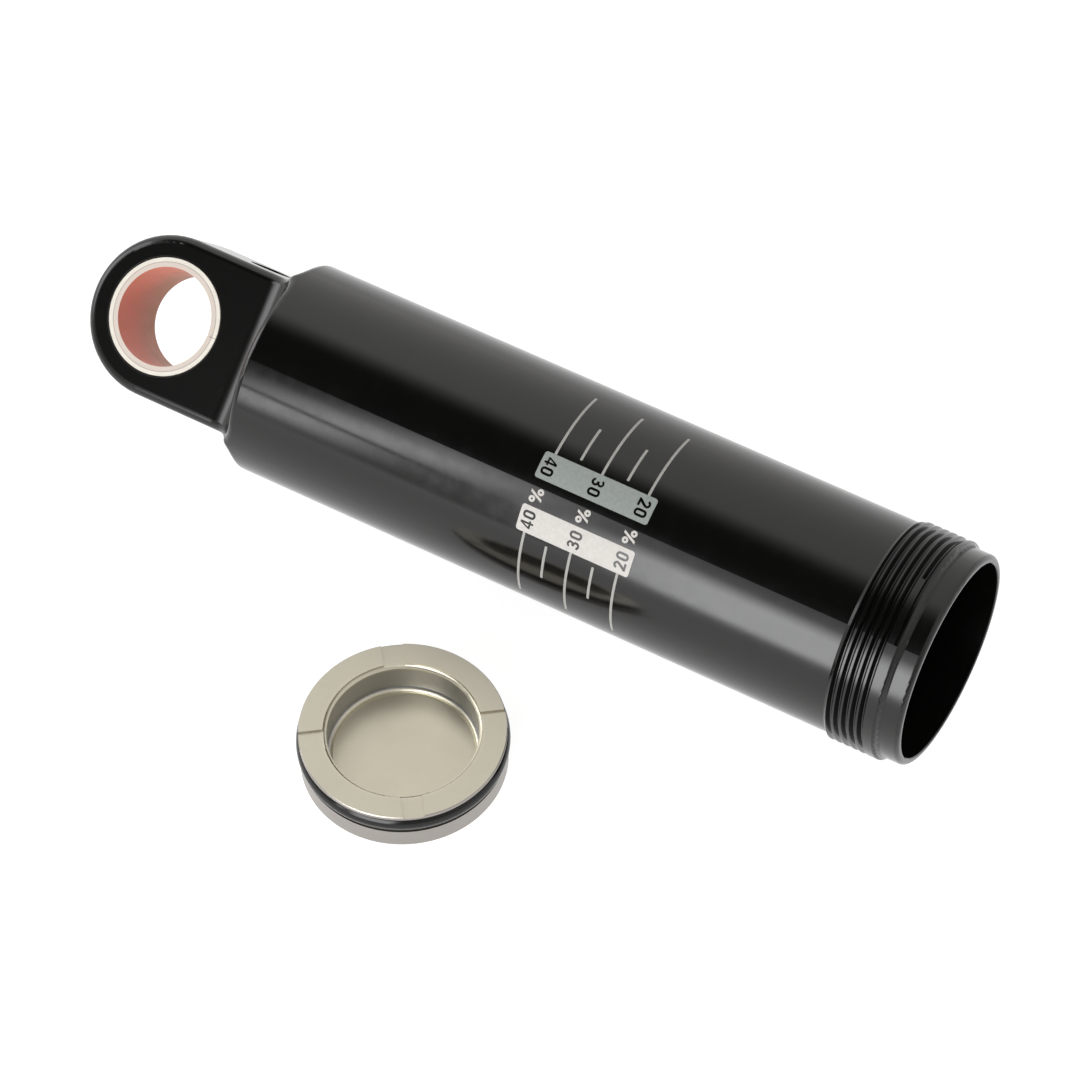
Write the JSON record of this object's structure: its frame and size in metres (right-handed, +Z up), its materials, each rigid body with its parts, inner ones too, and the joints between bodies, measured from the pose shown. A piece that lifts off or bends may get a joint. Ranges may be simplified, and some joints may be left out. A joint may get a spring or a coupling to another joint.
{
  "type": "rear shock damper body",
  "caption": "Damper body of a bicycle rear shock with a bushed eyelet, gas-fill port, blind bore and external thread, and its loose cup-shaped floating piston with seal ring.",
  "frame": {"origin": "centre of the eyelet bush's bore, at mid-thickness of the eyelet plate, on the tube's axis", "axes": "+X along the tube towards its open threaded end, +Z up from the surface that the tube and the piston lie on, +Y away from the piston. The bore's axis leans 36.12 degrees from +Z towards -Y."},
  "size_m": [0.12, 0.0636, 0.029],
  "materials": {
    "anodised_body": "black hard-anodised, semi-gloss",
    "bush_steel": "tin flash, matt",
    "bush_sliding_layer": "copper-red sliding layer",
    "screw_steel": "black oxide",
    "seal_rubber": "oiled nitrile rubber",
    "piston_aluminium": "fine-turned, satin clear-anodised",
    "scale_print_white": "white printing ink",
    "scale_print_grey": "grey printing ink"
  },
  "bodies": {
    "damper": {"damper_body": "anodised_body", "bush_shell": "bush_steel", "bush_liner": "bush_sliding_layer", "fill_screw": "screw_steel", "fill_pellet": "seal_rubber"},
    "piston": {"floating_piston": "piston_aluminium", "piston_o_ring": "seal_rubber"}
  },
  "joints": [
    {"name": "piston_lift", "type": "slide", "parent": "damper", "child": "piston", "axis": [0, 0, 1], "range_m": [0, 0.04]}
  ]
}
